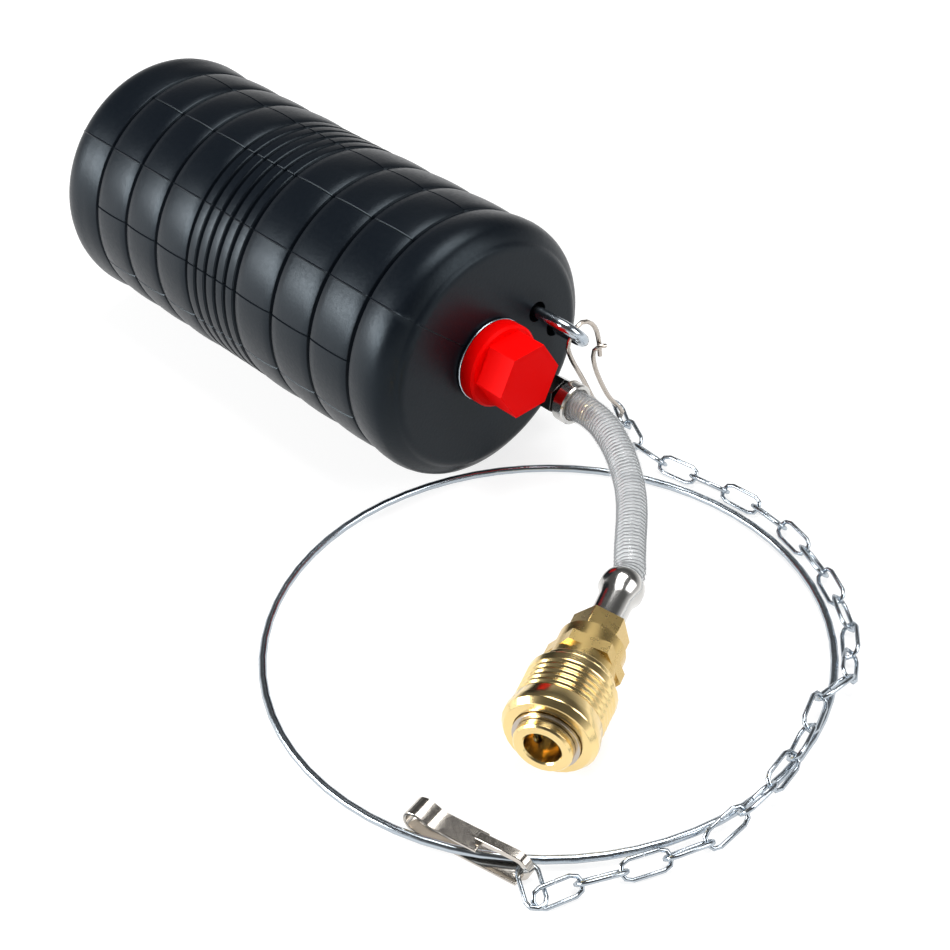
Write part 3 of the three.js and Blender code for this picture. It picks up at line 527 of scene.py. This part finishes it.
# Wire clip: bent from one length of spring steel wire, with its hooked end over its own leg.
# It hangs in the towing eye and holds the chain's last link.
smoothed("wire_clip", spring_steel, crease=70.0)


# Floor and light: a white table under a wide soft light, with a long soft box low on the left
# and a weak fill on the right. They are the photograph's setting and no part of the object.
def soft_light(name, place, target, width, height, power):
    data = bpy.data.lights.new(name, "AREA")
    data.shape = "RECTANGLE"
    data.size = width
    data.size_y = height
    data.energy = power
    lamp = add_object(name, data)
    lamp.location = place
    lamp.rotation_euler = (target - place).to_track_quat("-Z", "Y").to_euler()


def math_node(tree, operation, first, second):
    node = tree.nodes.new("ShaderNodeMath")
    node.operation = operation
    tree.links.new(first, node.inputs[0])
    tree.links.new(second, node.inputs[1])
    return node.outputs[0]


middle = at(-20, -40, 30)
soft_light("overhead", at(-60, 200, 1200), middle, width=0.7, height=0.7, power=13)
soft_light("left_box", at(-420, -760, 330), middle, width=0.7, height=0.3, power=12)
soft_light("right_fill", at(700, 300, 500), middle, width=0.5, height=0.5, power=4)

floor_half = 2.5
floor_gap = 0.0003
floor_mesh = bpy.data.meshes.new("table_top")
floor_shape = bmesh.new()
bmesh.ops.create_grid(floor_shape, x_segments=1, y_segments=1, size=floor_half)
floor_shape.to_mesh(floor_mesh)
floor_shape.free()
floor = add_object("table_top", floor_mesh)
floor.location = (0, 0, -floor_gap)
floor_finish = bpy.data.materials.new("table_top")
floor_finish.use_nodes = True
floor_tree = floor_finish.node_tree
floor_tree.nodes.clear()
floor_output = floor_tree.nodes.new("ShaderNodeOutputMaterial")
floor_seen = floor_tree.nodes.new("ShaderNodeLightPath")
floor_diffuse = floor_tree.nodes.new("ShaderNodeBsdfDiffuse")
floor_diffuse.inputs["Color"].default_value = (0.3, 0.3, 0.3, 1)
floor_glow = floor_tree.nodes.new("ShaderNodeEmission")
floor_both = floor_tree.nodes.new("ShaderNodeAddShader")
seen = math_node(
    floor_tree, "MAXIMUM", floor_seen.outputs["Is Camera Ray"],
    math_node(floor_tree, "MAXIMUM", floor_seen.outputs["Is Glossy Ray"],
              floor_seen.outputs["Is Transmission Ray"]))
# The glow is full away from the part, so that the floor ends in the same white as the world
floor_place = floor_tree.nodes.new("ShaderNodeTexCoord")
floor_reach = floor_tree.nodes.new("ShaderNodeVectorMath")
floor_reach.operation = "LENGTH"
floor_tree.links.new(floor_place.outputs["Object"], floor_reach.inputs[0])
floor_fade = floor_tree.nodes.new("ShaderNodeMapRange")
floor_fade.inputs["From Min"].default_value = 0.2
floor_fade.inputs["From Max"].default_value = 0.5
floor_fade.inputs["To Min"].default_value = 0.78
floor_fade.inputs["To Max"].default_value = 1.0
floor_tree.links.new(floor_reach.outputs["Value"], floor_fade.inputs["Value"])
floor_tree.links.new(
    math_node(floor_tree, "MULTIPLY", seen, floor_fade.outputs["Result"]), floor_glow.inputs["Strength"])
floor_tree.links.new(floor_diffuse.outputs[0], floor_both.inputs[0])
floor_tree.links.new(floor_glow.outputs[0], floor_both.inputs[1])
floor_tree.links.new(floor_both.outputs[0], floor_output.inputs["Surface"])
floor_mesh.materials.append(floor_finish)

# The world is white to the camera, and dims from the horizon up for all else that it lights
world = bpy.data.worlds.new("studio")
scene.world = world
world.use_nodes = True
world_tree = world.node_tree
background = world_tree.nodes["Background"]
world_path = world_tree.nodes.new("ShaderNodeLightPath")
world_place = world_tree.nodes.new("ShaderNodeTexCoord")
world_split = world_tree.nodes.new("ShaderNodeSeparateXYZ")
world_tree.links.new(world_place.outputs["Generated"], world_split.inputs["Vector"])
dimmer = world_tree.nodes.new("ShaderNodeMapRange")
dimmer.inputs["From Min"].default_value = 0.05
dimmer.inputs["From Max"].default_value = 0.4
dimmer.inputs["To Min"].default_value = 0.75
dimmer.inputs["To Max"].default_value = 0.09
world_tree.links.new(world_split.outputs["Z"], dimmer.inputs["Value"])
shown = math_node(
    world_tree, "MAXIMUM", world_path.outputs["Is Camera Ray"],
    world_path.outputs["Is Transmission Ray"])
world_tree.links.new(
    math_node(world_tree, "MAXIMUM", shown, dimmer.outputs["Result"]), background.inputs["Strength"])
background.inputs["Color"].default_value = (1, 1, 1, 1)
